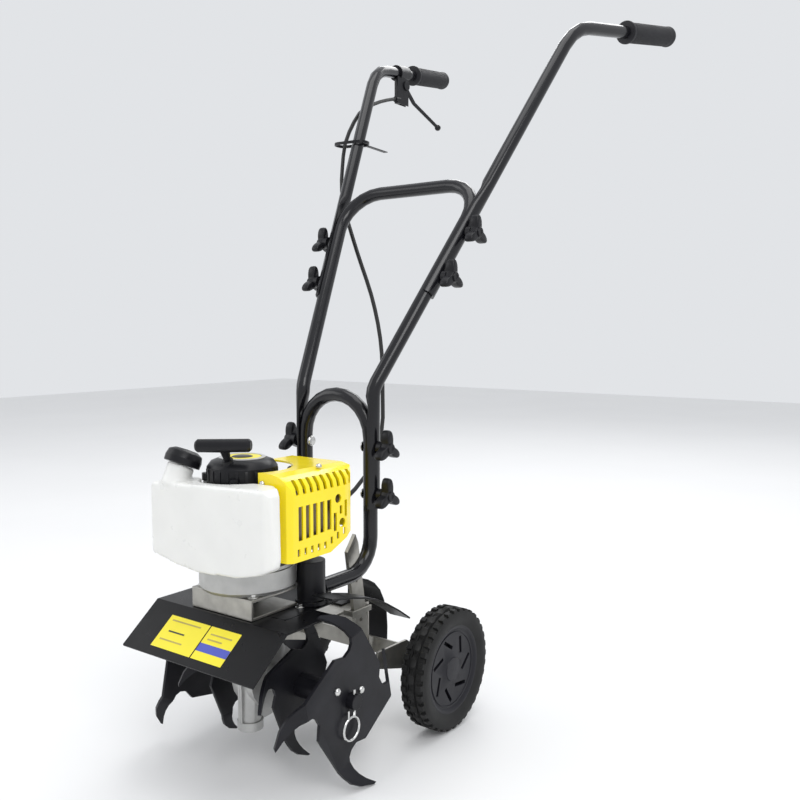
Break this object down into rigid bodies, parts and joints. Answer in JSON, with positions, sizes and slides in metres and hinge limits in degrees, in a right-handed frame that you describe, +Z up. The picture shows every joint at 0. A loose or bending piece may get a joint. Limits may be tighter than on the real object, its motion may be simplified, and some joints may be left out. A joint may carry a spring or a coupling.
{
  "type": "garden tiller",
  "caption": "Small walk-behind petrol garden tiller with star tines, rear transport wheels, a depth stake and a folding tube handle",
  "frame": {"origin": "on the ground, under the middle of the whole tiller's box", "axes": "+Z up, -Y the way the tiller works, with the engine and tines, +Y towards the handle grips, +X the operator's left"},
  "size_m": [0.5324, 0.9574, 1.1372],
  "materials": {
    "black_paint": "glossy black powder coat",
    "black_sheet": "satin black paint on pressed sheet",
    "tine_steel": "dark baked paint on cut plate",
    "zinc": "zinc plated",
    "aluminium": "bare die casting",
    "yellow_plastic": "glossy moulded cover",
    "white_plastic": "translucent white fuel tank",
    "black_plastic": "moulded, lightly grained",
    "rubber": "soft ribbed grip",
    "cable": "black cable jacket",
    "tyre": "moulded tread",
    "steel": "bright steel",
    "bronze": "machined bronze",
    "burnt_steel": "heat-darkened steel"
  },
  "bodies": {
    "chassis": {"lower_arch": "black_paint", "mid_handle": "black_paint", "upper_handle_left": "black_paint", "grip_left": "rubber", "upper_handle_right": "black_paint", "grip_right": "rubber", "throttle_clamp": "black_plastic", "throttle_cable": "cable", "cable_tie": "black_plastic", "base_channel": "zinc", "front_guard": "black_sheet", "frame_plate": "black_sheet", "rear_guard_left": "black_sheet", "handle_post_left": "black_plastic", "rear_guard_right": "black_sheet", "handle_post_right": "black_plastic", "gearbox_left": "aluminium", "gearbox_right": "aluminium", "stake_bracket": "zinc", "rear_flap": "black_sheet", "wheel_bracket": "zinc", "clutch_housing": "aluminium", "crankcase": "aluminium", "cylinder": "aluminium", "spark_plug": "steel", "fan_housing": "aluminium", "starter_housing": "black_plastic", "muffler": "burnt_steel", "carburettor": "aluminium", "air_cleaner": "black_plastic", "engine_cover": "yellow_plastic", "fuel_tank": "white_plastic"},
    "tine_rotor": {"tine_axle": "steel", "worm_wheel": "bronze", "inner_tine_left": "tine_steel", "inner_tine_right": "tine_steel", "outer_tine_left": "tine_steel", "outer_tine_right": "tine_steel", "hitch_pin_left": "steel", "hitch_pin_right": "steel"},
    "drive_line": {"worm_shaft": "steel", "clutch_drum": "steel"},
    "crank": {"crankshaft": "steel", "flywheel": "aluminium"},
    "pull_grip": {"starter_grip": "black_plastic"},
    "cap": {"fuel_cap": "black_plastic"},
    "trigger": {"throttle_lever": "black_plastic"},
    "stake": {"depth_stake": "zinc"},
    "road_wheel_left": {"wheel_left": "black_plastic", "tyre_left": "tyre"},
    "knob_body_left_1": {"knob_left_1": "black_plastic"},
    "knob_body_left_2": {"knob_left_2": "black_plastic"},
    "knob_body_left_3": {"knob_left_3": "black_plastic"},
    "knob_body_left_4": {"knob_left_4": "black_plastic"},
    "road_wheel_right": {"wheel_right": "black_plastic", "tyre_right": "tyre"},
    "knob_body_right_1": {"knob_right_1": "black_plastic"},
    "knob_body_right_2": {"knob_right_2": "black_plastic"},
    "knob_body_right_3": {"knob_right_3": "black_plastic"},
    "knob_body_right_4": {"knob_right_4": "black_plastic"}
  },
  "joints": [
    {"name": "tine_spin", "type": "hinge", "parent": "chassis", "child": "tine_rotor", "pos_m": [0, -0.3397, 0.1166], "axis": [1, 0, 0], "continuous": true},
    {"name": "drive_spin", "type": "hinge", "parent": "chassis", "child": "drive_line", "pos_m": [0, -0.3667, 0.1166], "axis": [0, 0, 1], "continuous": true},
    {"name": "crank_spin", "type": "hinge", "parent": "chassis", "child": "crank", "pos_m": [0, -0.3667, 0.3001], "axis": [0, 0, 1], "continuous": true},
    {"name": "starter_pull", "type": "slide", "parent": "chassis", "child": "pull_grip", "axis": [0.1001, -0.4004, 0.9109], "range_m": [0, 0.5], "stiffness_N_per_m": 12, "springref_m": -0.5},
    {"name": "cap_turn", "type": "hinge", "parent": "chassis", "child": "cap", "pos_m": [-0.066, -0.4197, 0.4071], "axis": [0.0918, 0.3856, 0.9181], "range_deg": [0, 360]},
    {"name": "throttle_squeeze", "type": "hinge", "parent": "chassis", "child": "trigger", "pos_m": [-0.209, 0.2783, 1.0601], "axis": [1, 0, 0], "range_deg": [0, 30], "stiffness_Nm_per_rad": 0.5, "springref_deg": -20.05},
    {"name": "depth_slide", "type": "slide", "parent": "chassis", "child": "stake", "axis": [0, -0.1623, 0.9867], "range_m": [-0.02, 0.06]},
    {"name": "wheel_spin_left", "type": "hinge", "parent": "chassis", "child": "road_wheel_left", "pos_m": [0.151, -0.1197, 0.0891], "axis": [1, 0, 0], "continuous": true},
    {"name": "knob_turn_left_1", "type": "hinge", "parent": "chassis", "child": "knob_body_left_1", "pos_m": [0.13539, -0.03882, 0.7261], "axis": [1, 0, 0], "continuous": true},
    {"name": "knob_turn_left_2", "type": "hinge", "parent": "chassis", "child": "knob_body_left_2", "pos_m": [0.12009, -0.0811, 0.6591], "axis": [1, 0, 0], "continuous": true},
    {"name": "knob_turn_left_3", "type": "hinge", "parent": "chassis", "child": "knob_body_left_3", "pos_m": [0.0783, -0.1827, 0.4146], "axis": [1, 0, 0], "continuous": true},
    {"name": "knob_turn_left_4", "type": "hinge", "parent": "chassis", "child": "knob_body_left_4", "pos_m": [0.0783, -0.1827, 0.3461], "axis": [1, 0, 0], "continuous": true},
    {"name": "wheel_spin_right", "type": "hinge", "parent": "chassis", "child": "road_wheel_right", "pos_m": [-0.151, -0.1197, 0.0891], "axis": [1, 0, 0], "continuous": true},
    {"name": "knob_turn_right_1", "type": "hinge", "parent": "chassis", "child": "knob_body_right_1", "pos_m": [-0.13539, -0.03882, 0.7261], "axis": [-1, 0, 0], "continuous": true},
    {"name": "knob_turn_right_2", "type": "hinge", "parent": "chassis", "child": "knob_body_right_2", "pos_m": [-0.12009, -0.0811, 0.6591], "axis": [-1, 0, 0], "continuous": true},
    {"name": "knob_turn_right_3", "type": "hinge", "parent": "chassis", "child": "knob_body_right_3", "pos_m": [-0.0783, -0.1827, 0.4146], "axis": [-1, 0, 0], "continuous": true},
    {"name": "knob_turn_right_4", "type": "hinge", "parent": "chassis", "child": "knob_body_right_4", "pos_m": [-0.0783, -0.1827, 0.3461], "axis": [-1, 0, 0], "continuous": true}
  ],
  "couplings": [
    {"joint": "drive_spin", "follows": "tine_spin", "ratio": 20}
  ]
}
